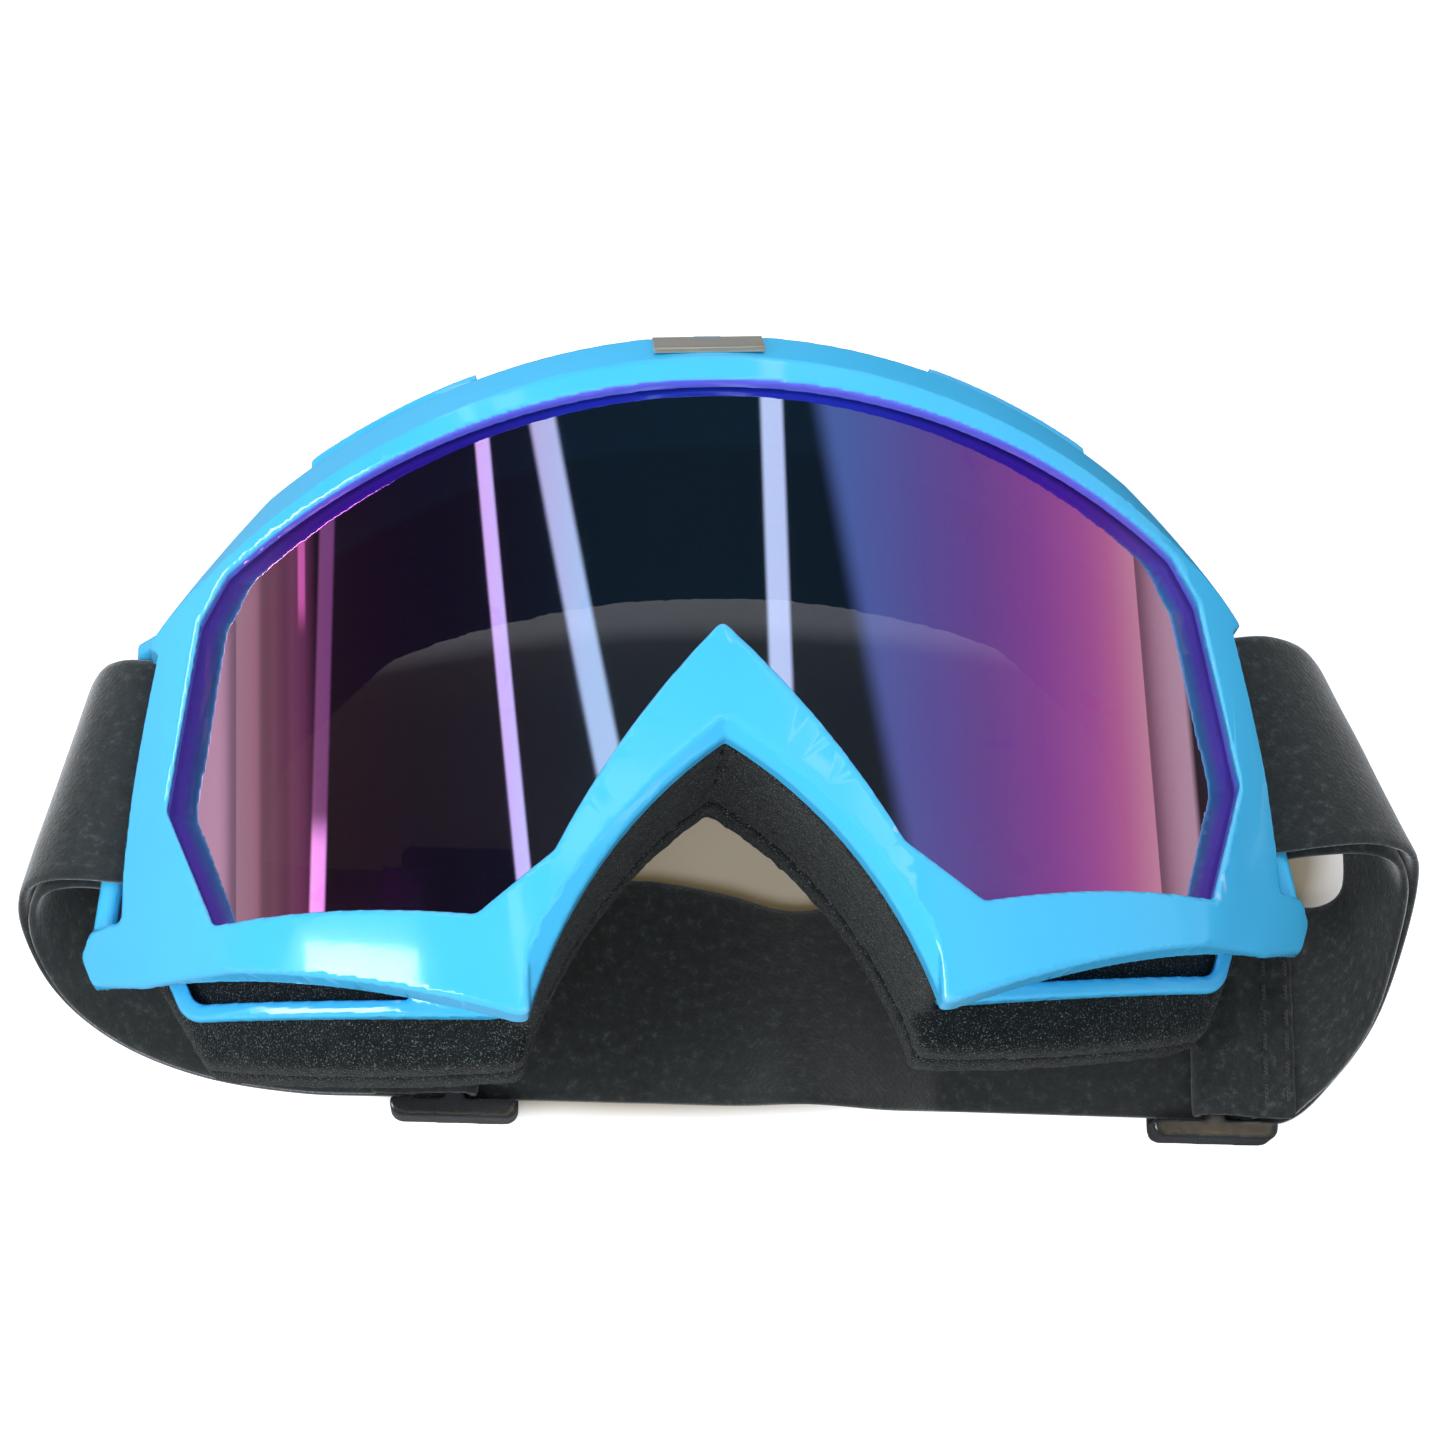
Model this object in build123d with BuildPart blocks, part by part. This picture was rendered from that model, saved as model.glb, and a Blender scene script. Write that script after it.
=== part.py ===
"""Motorcycle goggles, lying lens up with the strap folded underneath.

Frame of the part: +Z up along the middle of the lens, X across the face (the
wearer's temples at -X and +X), +Y towards the forehead, nose towards -Y. The
origin is on the surface that the goggles lie on. All sizes are millimetres.
"""
from build123d import *
from math import cos, radians, sin, sqrt
import os

os.makedirs("parts", exist_ok=True)

# ------------------------------------------------------------ bent surfaces
front_height = 80.0  # surface to the frontmost line of the frame
front_radius = 105.0  # bend of the front about an axis along Y
rim_tightening = 3.0  # how much tighter the back of the rim is bent than its front
flange_radius = 120.0  # bend of the face side, flatter than the front
frame_depth = 30.0  # front line to the face side of the flange
cut_margin = 1.0  # how far a cut runs on past what it cuts

# ------------------------------------------------------- plan: lens opening
opening_half_width = 80.6
opening_crown = 51.2  # Y of the top edge on the middle line
opening_shoulder = (70.9, 33.2)
opening_temple = (75.2, 27.3)
opening_low_outer = (73.0, -19.6)
opening_low_mid = (54.0, -21.4)
opening_low_inner = (35.3, -24.6)
opening_kink = (24.3, -16.6)
opening_leg_mid = (13.4, 0.2)
opening_nose = 15.2  # Y of the point over the nose
opening_round = 1.0

# ------------------------------------------------------ plan: outside of rim
rim_top = 9.3  # width of the rim on the middle line
rim_side = 7.6  # width of the rim at the widest point
rim_shoulder = (64.5, 45.2)
rim_lug = (84.2, 27.0)
rim_side_top = (82.2, 25.0)
rim_side_mid = (85.2, 12.0)
rim_side_low = -6.0  # Y of the widest point of the rim
foot_root = (88.6, -13.2)
foot_top = (94.2, -12.6)
foot_outer = (96.2, -15.6)
foot_tip = (94.2, -20.4)
foot_inner = (84.8, -24.2)
foot_bottom = 12.0  # height of the underside of the foot
bar_low_mid = (56.8, -30.6)
wing_tip = (29.8, -39.4)

# -------------------------------------------- flat facets cut on the front
# Each one passes through three points: X, Y and depth below the bent front.
leg_facet = ((0, 15.0, 0), (24.3, -16.6, 0), (29.8, -39.4, 0))
side_facet = ((86.3, 3.9, 0), (73.3, -25.5, 0), (93.0, -13.0, 1.6))
bar_facet = ((77.2, -16.6, 0), (70.6, -26.6, 0), (80.6, -24.2, 3.6))
foot_facet = ((89.6, -12.6, 0.8), (94.0, -20.0, 4.6), (80.4, -24.0, 2.6))

# ------------------------------------------------------- plan: nose cut-out
nose_top = -1.2  # Y of the point of the nose cut-out
nose_leg_mid = (16.2, -16.0)
nose_leg_tip = (28.2, -38.2)
nose_reach = 60.0  # how far the cut-out runs on past the wing tips
nose_chamfer = 2.9

# ------------------------------------------------------------- frame walls
lip_depth = 3.0  # front lip that covers the edge of the lens
rear_lip_depth = 2.4
wall = 2.2
top_chamfer_width = 4.6
top_chamfer_drop = 5.6
flange_depth = 3.4
flange_width = 8.0
side_recess = 3.2  # side wall set in behind the rim, where the strap passes
wall_low_outer = (81.5, -20.6)
wall_low_mid = (58.0, -25.2)
wall_low_inner = (36.0, -32.6)
nose_wall_recess = 4.4  # nose wall set in behind the leg, room for foam
flange_low_outer = (84.2, -17.0)
flange_low_corner = (79.6, -27.8)
flange_low_mid = (58.0, -31.0)
flange_low_inner = (34.0, -33.8)
flange_round = 5.5
ring_width = 2.6  # bar left outside the slots under the lower bars

# ---------------------------------------------------------------- the lens
lens_thickness = 1.0
lens_overlap = 2.2  # lens hidden in the groove, each side
lens_clearance = 0.15

# --------------------------------------------------------------- top vents
hood_start = 33.4  # X of the hood's inner end
hood_end = 58.4  # X of the hood's outer end
hood_raise = 2.3
hood_front = 8.0  # front line to the hood's front edge
hood_length = 13.0
vent_count = 3
vent_gap = 2.4
vent_end = 2.0  # solid part at each end of the hood
vent_front = 11.0  # front line to the vents' front edge
vent_height = 6.5

# ------------------------------------------------------------ bottom vents
slot_inner = 40.0
slot_outer = 70.0
slot_front = 10.0  # front line to the slots' front edge
slot_height = 8.0

# ------------------------------------------------------------ vent filters
filter_thickness = 2.0
filter_margin = 1.0
filter_clearance = 0.2

# ------------------------------------------------------------- badge plate
badge_width = 16.0
badge_length = 5.8  # along the slope
badge_thickness = 0.8
badge_sink = 0.5
badge_clearance = 0.1

# ------------------------------------------------------------- face foam
base_foam_thickness = 8.0
face_foam_thickness = 8.8
fleece_thickness = 1.0
foam_crown = 61.5
foam_shoulder = (66.0, 46.0)
foam_temple = (81.2, 26.5)
foam_half_width = 85.4
foam_widest_y = 10.0
foam_side_low = (84.5, -20.0)
foam_low_corner = (76.5, -34.4)
foam_low_mid = (58.0, -38.2)
foam_low_inner = (27.0, -40.4)
foam_round = 5.0
foam_gap = 0.3  # foam to the walls that it lies beside
fleece_inset = 1.0
face_crown = 34.0
face_shoulder = (48.0, 28.0)
face_temple = (64.5, 15.0)
face_half_width = 68.5
face_low_outer = (66.0, -17.0)
face_low_inner = (34.0, -23.0)
face_nose = 17.0
face_round = 7.0
relief_height = 9.2  # foam pressed up where the strap and slider pass
relief_start = 19.0
relief_end = 8.0

# ----------------------------------------------------------- strap posts
post_radius = 1.7
post_drop = 62.0  # front line down to the middle of the posts
post_low = (92.6, -15.0)
post_high = (85.8, 32.4)
lug_root = 72.0  # X inside the wall, where the lug begins
lug_rise = 9.0  # middle of the post up to the underside of the lug at its root
lug_lean = 5.5  # top of the lug set in from the corner of the rim
lug_sink = 5.0  # top of the lug below the front, inside the rim
boss_sink = 4.0  # top of the boss over the post's low end, inside the foot
lug_width = 2.4

# ------------------------------------------------------------------- strap
strap_width = 36.4
strap_thickness = 1.4
layer_gap = 0.25  # between the two layers of strap
post_clearance = 0.3  # strap to the post inside its fold
strap_edge_gap = 0.4  # edge of the strap to the lug at the end of the post
fold_steps = 8
curl_steps = 12
settle_share = 0.35  # share of the curl where the layers close up
run_lean = -0.06  # sideways shift of the run for each millimetre of X
run_middle = -21.2  # Y of the run's middle line at X = 0
run_right = 95.0
run_left = -62.0
curl_right = 98.0  # X where the half turn begins, loose on this side
curl_left = 95.0
curl_tilt = 12.0  # how much further the bulge of the curl leans than the post
twist_angle = 21.0  # the middle of the run leans on its forehead edge
twist_shift = -3.0
twist_start = 38.0
twist_full = 18.0
twist_end = -8.0
twist_steps = 12

# ----------------------------------------------------------------- sliders
slider_left = -38.2
slider_right = 81.6
slider_length = 20.0
slider_rail = 3.0
slider_bar = 3.0
slider_bar_thickness = 1.5
slider_side_clearance = 0.5
slider_gap = 0.25
slider_centre_thickness = 1.6
slider_round = 2.0
slider_travel_out = 3.0
hem_lower_reach = 7.0
hem_step_start = 3.0
hem_step_end = 7.0
hem_reach = 13.0
hem_bend_offset = 1.2
stitch_rows = 2
row_spacing = 3.5
stitch_count = 8
stitch_length = 2.6
stitch_width = 0.6
stitch_height = 0.3


def bent_section(upper_radius, upper_apex, lower_radius, lower_apex):
    """Section across the goggles between two surfaces bent about axes along Y."""
    upper_centre = upper_apex - upper_radius
    with BuildSketch(Plane.XZ) as section:
        with Locations((0, upper_centre)):
            Circle(upper_radius)
            upper_half = (Align.CENTER, Align.MIN)
            Rectangle(2 * upper_radius, upper_radius, align=upper_half, mode=Mode.INTERSECT)
        with Locations((0, lower_apex - lower_radius)):
            Circle(lower_radius, mode=Mode.SUBTRACT)
    return section.sketch


def behind_front(near, far):
    """Section between two depths straight behind the front line."""
    return bent_section(front_radius, front_height - near, front_radius, front_height - far)


def shell_behind_front(near, far):
    """Section between two depths measured square to the front."""
    return bent_section(
        front_radius - near,
        front_height - near,
        front_radius - far,
        front_height - far,
    )


def behind_flange(near, far):
    """Section between two depths behind the face side of the flange."""
    apex = front_height - frame_depth
    return bent_section(flange_radius, apex - near, flange_radius, apex - far)


def front_point(side, x, y, depth):
    """Point at a depth below the bent front, on the side given by the sign."""
    height = front_height - front_radius + sqrt(front_radius**2 - x**2) - depth
    return Vector(side * x, y, height)


def mirrored(point):
    return (-point[0], point[1])


# ------------------------------------------------------------------ outlines
with BuildSketch() as nose_plan:
    with BuildLine():
        nose_leg = ThreePointArc((0, nose_top), nose_leg_mid, nose_leg_tip)
        Polyline(nose_leg_tip, (nose_leg_tip[0], -nose_reach), (0, -nose_reach))
        mirror(about=Plane.YZ)
    make_face()

with BuildSketch() as opening_plan:
    with BuildLine():
        Polyline(opening_shoulder, opening_temple, (opening_half_width, 0), opening_low_outer)
        ThreePointArc(opening_low_outer, opening_low_mid, opening_low_inner)
        Line(opening_low_inner, opening_kink)
        ThreePointArc(opening_kink, opening_leg_mid, (0, opening_nose))
        mirror(about=Plane.YZ)
        ThreePointArc(mirrored(opening_shoulder), (0, opening_crown), opening_shoulder)
    make_face()

with BuildSketch() as lip_plan:
    add(opening_plan.sketch)
    fillet(lip_plan.vertices(), opening_round)

widest_point = (opening_half_width + rim_side, rim_side_low)
with BuildSketch() as rim_plan:
    with BuildLine():
        Polyline(rim_shoulder, rim_lug, rim_side_top)
        ThreePointArc(rim_side_top, rim_side_mid, widest_point)
        Polyline(widest_point, foot_root, foot_top, foot_outer, foot_tip, foot_inner)
        ThreePointArc(foot_inner, bar_low_mid, wing_tip)
        Line(wing_tip, (0, wing_tip[1]))
        mirror(about=Plane.YZ)
        ThreePointArc(mirrored(rim_shoulder), (0, opening_crown + rim_top), rim_shoulder)
    make_face()
    add(nose_plan.sketch, mode=Mode.SUBTRACT)

wall_side_top = (rim_side_top[0] - side_recess, rim_side_top[1])
wall_side_mid = (rim_side_mid[0] - side_recess, rim_side_mid[1])
wall_side_low = (widest_point[0] - side_recess, rim_side_low)
with BuildSketch() as wall_plan:
    with BuildLine():
        Line(rim_shoulder, wall_side_top)
        ThreePointArc(wall_side_top, wall_side_mid, wall_side_low)
        Line(wall_side_low, wall_low_outer)
        ThreePointArc(wall_low_outer, wall_low_mid, wall_low_inner)
        Line(wall_low_inner, (0, wall_low_inner[1]))
        mirror(about=Plane.YZ)
        ThreePointArc(mirrored(rim_shoulder), (0, opening_crown + rim_top), rim_shoulder)
    make_face()
    offset(nose_plan.sketch, nose_wall_recess, mode=Mode.SUBTRACT)

with BuildSketch() as flange_plan:
    with BuildLine():
        Line(rim_shoulder, wall_side_top)
        ThreePointArc(wall_side_top, wall_side_mid, wall_side_low)
        Line(wall_side_low, flange_low_outer)
        Line(flange_low_outer, flange_low_corner)
        ThreePointArc(flange_low_corner, flange_low_mid, flange_low_inner)
        Line(flange_low_inner, (0, flange_low_inner[1]))
        mirror(about=Plane.YZ)
        ThreePointArc(mirrored(rim_shoulder), (0, opening_crown + rim_top), rim_shoulder)
    make_face()
    low_corners = flange_plan.vertices().group_by(Axis.Y)[1] + flange_plan.vertices().filter_by(
        lambda corner: corner.Y == flange_low_outer[1]
    )
    fillet(low_corners, flange_round)
    offset(nose_plan.sketch, nose_wall_recess, mode=Mode.SUBTRACT)


# ------------------------------------------------------------------- frame
groove_end = lip_depth + lens_thickness + 2 * lens_clearance
rim_depth = groove_end + rear_lip_depth
rim_back_radius = front_radius - rim_tightening
span = foot_outer[0] + cut_margin  # past everything along Y and across
crown = opening_crown + rim_top
crown_drop = crown - rim_shoulder[1]
crown_radius = (rim_shoulder[0] ** 2 + crown_drop**2) / (2 * crown_drop)
crown_centre = (0, crown - crown_radius)
chamfer_normal = Vector(0, top_chamfer_drop, top_chamfer_width).normalized()
chamfer_middle = Vector(0, crown - top_chamfer_width / 2, front_height - top_chamfer_drop / 2)
badge_plane = Plane(chamfer_middle, x_dir=(1, 0, 0), z_dir=chamfer_normal)

with BuildPart() as rim:
    extrude(rim_plan.sketch, amount=front_height)
    rim_section = bent_section(
        front_radius, front_height, rim_back_radius, front_height - rim_depth
    )
    extrude(rim_section, amount=span, both=True, mode=Mode.INTERSECT)
    front_face = rim.faces().sort_by(Axis.Z)[-1]
    crown_edge = front_face.edges().sort_by(Axis.Y)[-1]
    chamfer(crown_edge, top_chamfer_drop, top_chamfer_width, reference=front_face)
    front_face = rim.faces().sort_by(Axis.Z)[-1]
    leg_edges = front_face.edges().filter_by(
        lambda edge: abs(edge.center().X) < nose_leg_tip[0] and edge.center().Y < nose_top
    )
    chamfer(leg_edges.sort_by(Axis.Y)[-2:], nose_chamfer)
    for facet in (leg_facet, side_facet, bar_facet, foot_facet):
        for side in (-1, 1):
            corner, along, across = [front_point(side, *place) for place in facet]
            facet_normal = (along - corner).cross(across - corner)
            if facet_normal.Z < 0:
                facet_normal = -facet_normal
            facet_plane = Plane(corner, x_dir=along - corner, z_dir=facet_normal)
            split(bisect_by=facet_plane, keep=Keep.BOTTOM)
    split(bisect_by=Plane.XY.offset(foot_bottom), keep=Keep.TOP)

with BuildPart() as groove:
    offset(opening_plan.sketch, lens_overlap)
    extrude(amount=front_height)
    extrude(shell_behind_front(lip_depth, groove_end), span, both=True, mode=Mode.INTERSECT)

with BuildPart() as walls:
    extrude(wall_plan.sketch, amount=front_height)
    wall_section = bent_section(
        rim_back_radius,
        front_height - rim_depth,
        flange_radius,
        front_height - frame_depth,
    )
    extrude(wall_section, amount=span, both=True, mode=Mode.INTERSECT)

with BuildPart() as hoods:
    with BuildSketch():
        with Locations(crown_centre):
            Circle(crown_radius + hood_raise)
        with Locations((0, crown)):
            Rectangle(2 * hood_end, 2 * crown_drop, mode=Mode.INTERSECT)
            Rectangle(2 * hood_start, 2 * crown_drop, mode=Mode.SUBTRACT)
    extrude(amount=front_height)
    extrude(
        behind_front(hood_front, hood_front + hood_length), span, both=True, mode=Mode.INTERSECT
    )

with BuildPart() as flange:
    extrude(flange_plan.sketch, amount=front_height)
    extrude(behind_flange(-flange_depth, 0), span, both=True, mode=Mode.INTERSECT)

post_height = front_height - post_drop
lug_top = front_point(1, rim_lug[0], rim_lug[1], lug_sink).Z
boss_top = front_point(1, post_low[0], post_low[1], boss_sink).Z
with BuildPart() as post:
    with BuildSketch(Plane.XZ.offset(-post_high[1])):
        with BuildLine():
            lug_end = post_high[0] + post_radius
            lug_foot = (lug_end, post_height - post_radius)
            lug_shoulder = (lug_end, post_height + post_radius)
            lug_brow = (rim_lug[0] - lug_lean, lug_top)
            lug_armpit = (lug_root, post_height + lug_rise)
            Polyline(lug_armpit, lug_foot, lug_shoulder, lug_brow, (lug_root, lug_top), close=True)
        make_face()
    extrude(amount=lug_width / 2, both=True)
    with BuildSketch(Plane.XY.offset(post_height)):
        with Locations(post_low):
            Circle(post_radius)
    extrude(amount=boss_top - post_height)
    low_end = Vector(post_low[0], post_low[1], post_height)
    post_span = Vector(post_high[0], post_high[1], post_height) - low_end
    with BuildSketch(Plane(low_end, z_dir=post_span.normalized())):
        Circle(post_radius)
    extrude(amount=post_span.length - lug_width / 4)

with BuildPart() as cavity:
    offset(wall_plan.sketch, -wall)
    extrude(amount=front_height)
    cavity_section = bent_section(
        rim_back_radius,
        front_height - rim_depth,
        flange_radius,
        front_height - frame_depth + flange_depth,
    )
    extrude(cavity_section, span, both=True, mode=Mode.INTERSECT)

with BuildPart() as mouth:
    offset(wall_plan.sketch, -flange_width)
    extrude(amount=front_height)
    extrude(behind_flange(-frame_depth / 2, cut_margin), span, both=True, mode=Mode.INTERSECT)

with BuildPart() as flange_slots:
    with BuildSketch():
        offset(flange_plan.sketch, -ring_width)
        add(wall_plan.sketch, mode=Mode.SUBTRACT)
    extrude(amount=front_height)
    extrude(behind_flange(-frame_depth / 2, cut_margin), span, both=True, mode=Mode.INTERSECT)

vent_length = (
    hood_end - hood_start - 2 * vent_end - (vent_count - 1) * vent_gap
) / vent_count
vent_middle = (hood_start + hood_end) / 2
with BuildPart() as top_vents:
    with BuildSketch():
        for side in (-1, 1):
            with Locations((side * vent_middle, crown - crown_drop / 2)):
                with GridLocations(vent_length + vent_gap, 1, vent_count, 1):
                    Rectangle(vent_length, 2 * crown_drop)
    extrude(amount=front_height)
    extrude(
        behind_front(vent_front, vent_front + vent_height), span, both=True, mode=Mode.INTERSECT
    )

slot_middle = (slot_inner + slot_outer) / 2
with BuildPart() as bottom_slots:
    with BuildSketch():
        for side in (-1, 1):
            with Locations((side * slot_middle, wall_low_inner[1])):
                Rectangle(slot_outer - slot_inner, 2 * (wall_low_outer[1] - wall_low_inner[1]))
    extrude(amount=front_height)
    extrude(
        behind_front(slot_front, slot_front + slot_height), span, both=True, mode=Mode.INTERSECT
    )

with BuildPart() as frame:
    add(rim.part)
    add(walls.part)
    add(hoods.part)
    add(flange.part)
    add(post.part)
    mirror(post.part, about=Plane.YZ)
    add(cavity.part, mode=Mode.SUBTRACT)
    add(mouth.part, mode=Mode.SUBTRACT)
    add(flange_slots.part, mode=Mode.SUBTRACT)
    extrude(lip_plan.sketch, amount=front_height, mode=Mode.SUBTRACT)
    add(groove.part, mode=Mode.SUBTRACT)
    add(top_vents.part, mode=Mode.SUBTRACT)
    add(bottom_slots.part, mode=Mode.SUBTRACT)
    with BuildSketch(badge_plane):
        Rectangle(badge_width + 2 * badge_clearance, badge_length + 2 * badge_clearance)
    extrude(amount=badge_sink, both=True, mode=Mode.SUBTRACT)

frame.part.label = "frame"
export_step(frame.part, "parts/frame.step")

# -------------------------------------------------------------------- lens
with BuildPart() as lens:
    offset(opening_plan.sketch, lens_overlap - lens_clearance)
    extrude(amount=front_height)
    lens_front = lip_depth + lens_clearance
    lens_section = shell_behind_front(lens_front, lens_front + lens_thickness)
    extrude(lens_section, span, both=True, mode=Mode.INTERSECT)

lens.part.label = "lens"
export_step(lens.part, "parts/lens.step")

# ------------------------------------------------------------- badge plate
with BuildPart() as badge_plate:
    with BuildSketch(badge_plane.offset(-badge_sink)):
        Rectangle(badge_width, badge_length)
    extrude(amount=badge_thickness)

badge_plate.part.label = "badge_plate"
export_step(badge_plate.part, "parts/badge_plate.step")

# ------------------------------------------------------------ vent filters


def vent_filter(x_start, x_end, y_middle, y_span, near, far):
    """Thin foam lining the inside of the frame wall behind a row of vents."""
    with BuildPart() as lining:
        with BuildSketch():
            offset(wall_plan.sketch, -wall - filter_clearance)
            inner_amount = -wall - filter_clearance - filter_thickness
            offset(wall_plan.sketch, inner_amount, mode=Mode.SUBTRACT)
            with Locations(((x_start + x_end) / 2, y_middle)):
                Rectangle(x_end - x_start, y_span, mode=Mode.INTERSECT)
        extrude(amount=front_height)
        extrude(behind_front(near, far), span, both=True, mode=Mode.INTERSECT)
    return lining.part


for side, name in ((-1, "left"), (1, "right")):
    top_ends = sorted((side * (hood_start - filter_margin), side * (hood_end + filter_margin)))
    top_filter = vent_filter(
        top_ends[0],
        top_ends[1],
        crown - crown_drop / 2,
        2 * crown_drop,
        vent_front - filter_margin,
        vent_front + vent_height + filter_margin,
    )
    top_filter.label = "top_vent_filter_" + name
    export_step(top_filter, "parts/top_vent_filter_" + name + ".step")
    low_ends = sorted((side * (slot_inner - filter_margin), side * (slot_outer + filter_margin)))
    bottom_filter = vent_filter(
        low_ends[0],
        low_ends[1],
        wall_low_inner[1],
        2 * (wall_low_outer[1] - wall_low_inner[1]),
        slot_front - filter_margin,
        slot_front + slot_height + filter_margin,
    )
    bottom_filter.label = "bottom_vent_filter_" + name
    export_step(bottom_filter, "parts/bottom_vent_filter_" + name + ".step")

# --------------------------------------------------------------- face foam
with BuildSketch() as face_plan:
    with BuildLine():
        Polyline(
            face_shoulder,
            face_temple,
            (face_half_width, 0),
            face_low_outer,
            face_low_inner,
            (0, face_nose),
        )
        mirror(about=Plane.YZ)
        ThreePointArc(mirrored(face_shoulder), (0, face_crown), face_shoulder)
    make_face()
    fillet(face_plan.vertices(), face_round)

with BuildSketch() as foam_plan:
    with BuildLine():
        Line(foam_shoulder, foam_temple)
        ThreePointArc(foam_temple, (foam_half_width, foam_widest_y), foam_side_low)
        Line(foam_side_low, foam_low_corner)
        ThreePointArc(foam_low_corner, foam_low_mid, foam_low_inner)
        Line(foam_low_inner, (0, foam_low_inner[1]))
        mirror(about=Plane.YZ)
        ThreePointArc(mirrored(foam_shoulder), (0, foam_crown), foam_shoulder)
    make_face()
    cheek_corners = foam_plan.vertices().filter_by(
        lambda corner: corner.Y in (foam_low_corner[1], foam_side_low[1])
    )
    fillet(cheek_corners, foam_round)
    offset(nose_plan.sketch, foam_gap, mode=Mode.SUBTRACT)
    add(face_plan.sketch, mode=Mode.SUBTRACT)

with BuildPart() as relief:
    with BuildSketch(Plane.YZ):
        with BuildLine():
            Polyline(
                (relief_start, 0),
                (relief_end, relief_height),
                (-nose_reach, relief_height),
                (-nose_reach, 0),
                close=True,
            )
        make_face()
    extrude(amount=span, both=True)

with BuildPart() as nose_foam:
    with BuildSketch():
        offset(nose_plan.sketch, nose_wall_recess - foam_gap)
        offset(nose_plan.sketch, foam_gap, mode=Mode.SUBTRACT)
        with Locations((0, wing_tip[1] + nose_wall_recess)):
            above_wings = (Align.CENTER, Align.MIN)
            Rectangle(2 * span, 2 * nose_reach, align=above_wings, mode=Mode.INTERSECT)
    extrude(amount=front_height)
    nose_section = bent_section(
        rim_back_radius,
        front_height - rim_depth,
        flange_radius,
        front_height - frame_depth - base_foam_thickness / 2,
    )
    extrude(nose_section, span, both=True, mode=Mode.INTERSECT)

with BuildPart() as foam_base:
    extrude(foam_plan.sketch, amount=front_height)
    extrude(behind_flange(0, base_foam_thickness), span, both=True, mode=Mode.INTERSECT)
    add(relief.part, mode=Mode.SUBTRACT)
    add(nose_foam.part)

foam_base.part.label = "foam_base"
export_step(foam_base.part, "parts/foam_base.step")

with BuildPart() as foam_face:
    extrude(foam_plan.sketch, amount=front_height)
    face_far = base_foam_thickness + face_foam_thickness
    extrude(behind_flange(base_foam_thickness, face_far), span, both=True, mode=Mode.INTERSECT)
    add(relief.part, mode=Mode.SUBTRACT)

foam_face.part.label = "foam_face"
export_step(foam_face.part, "parts/foam_face.step")

with BuildPart() as face_fleece:
    offset(foam_plan.sketch, -fleece_inset)
    extrude(amount=front_height)
    fleece_far = face_far + fleece_thickness
    extrude(behind_flange(face_far, fleece_far), span, both=True, mode=Mode.INTERSECT)
    add(relief.part, mode=Mode.SUBTRACT)

face_fleece.part.label = "face_fleece"
export_step(face_fleece.part, "parts/face_fleece.step")

# ------------------------------------------------------------------- strap
layer_pitch = strap_thickness + layer_gap
run_height = slider_bar_thickness + slider_gap + strap_thickness + layer_gap / 2
fold_radius = post_radius + post_clearance + strap_thickness / 2
fold_middle = post_high[1] - (lug_width + strap_width) / 2 - strap_edge_gap
run_direction = Vector(1, run_lean, 0).normalized()
run_width = Vector(-run_lean, 1, 0).normalized()


def run_point(x):
    """Point of the run's middle line, between the two layers of strap."""
    return Vector(x, run_middle + run_lean * x, run_height)


def smooth(share):
    """Eased step from 0 to 1."""
    share = min(max(share, 0), 1)
    return share * share * (3 - 2 * share)


class Curl:
    """Half turn of strap from the post on one side down to the flat run."""

    def __init__(self, side, curl_x, run_end):
        post_line = Vector(*post_high) - Vector(*post_low)
        rise = (fold_middle - post_low[1]) / post_line.Y
        post_x = post_low[0] + rise * post_line.X
        turn_radius = (post_height - run_height) / 2
        self.side = side
        self.centre = Vector(side * post_x, fold_middle, post_height)
        self.end_y = run_point(run_end).Y
        self.post_width = Vector(side * post_line.X, post_line.Y, 0).normalized()
        outward = Vector(side, 0, 0)
        self.outward = (outward - self.post_width * outward.dot(self.post_width)).normalized()
        with BuildLine() as route:
            Line((post_x, post_height), (curl_x, post_height))
            turn_side = (curl_x + turn_radius, post_height - turn_radius)
            ThreePointArc((curl_x, post_height), turn_side, (curl_x, run_height))
            Line((curl_x, run_height), (abs(run_end), run_height))
        self.route = route.wire()

    def station(self, share, layer, travel):
        """Plane across the strap: layer +1 outside, -1 inside; travel +1 down, -1 up."""
        place = self.route @ share
        heading = self.route % share
        along = Vector(heading.X * self.side, 0, heading.Y)
        width = (self.post_width * (1 - smooth(share)) + run_width * smooth(share)).normalized()
        width = width.rotate(Axis.Z, self.side * curl_tilt * 4 * share * (1 - share))
        along = (along - width * along.dot(width)).normalized()
        outside = along.cross(width) * self.side
        opening = 1 - smooth(share / settle_share)
        away = layer_pitch / 2 + (fold_radius - layer_pitch / 2) * opening
        drift = smooth(share)
        side_y = fold_middle + (self.end_y - fold_middle) * drift
        point = Vector(place.X * self.side, side_y, place.Y) + outside * away * layer
        return Plane(point, x_dir=width, z_dir=along * travel)

    def fold(self):
        """Planes round the post, from the outer layer to the inner one."""
        top = self.outward.cross(self.post_width) * self.side
        planes = []
        for step in range(1, fold_steps):
            angle = radians(180 * step / fold_steps)
            spoke = top * cos(angle) - self.outward * sin(angle)
            heading = top * -sin(angle) - self.outward * cos(angle)
            planes.append(
                Plane(self.centre + spoke * fold_radius, x_dir=self.post_width, z_dir=heading)
            )
        return planes

    def layer(self, layer, travel):
        return [self.station(step / curl_steps, layer, travel) for step in range(curl_steps + 1)]


def flipped(plane):
    return Plane(plane.origin, x_dir=plane.x_dir, z_dir=-plane.z_dir)


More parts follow.
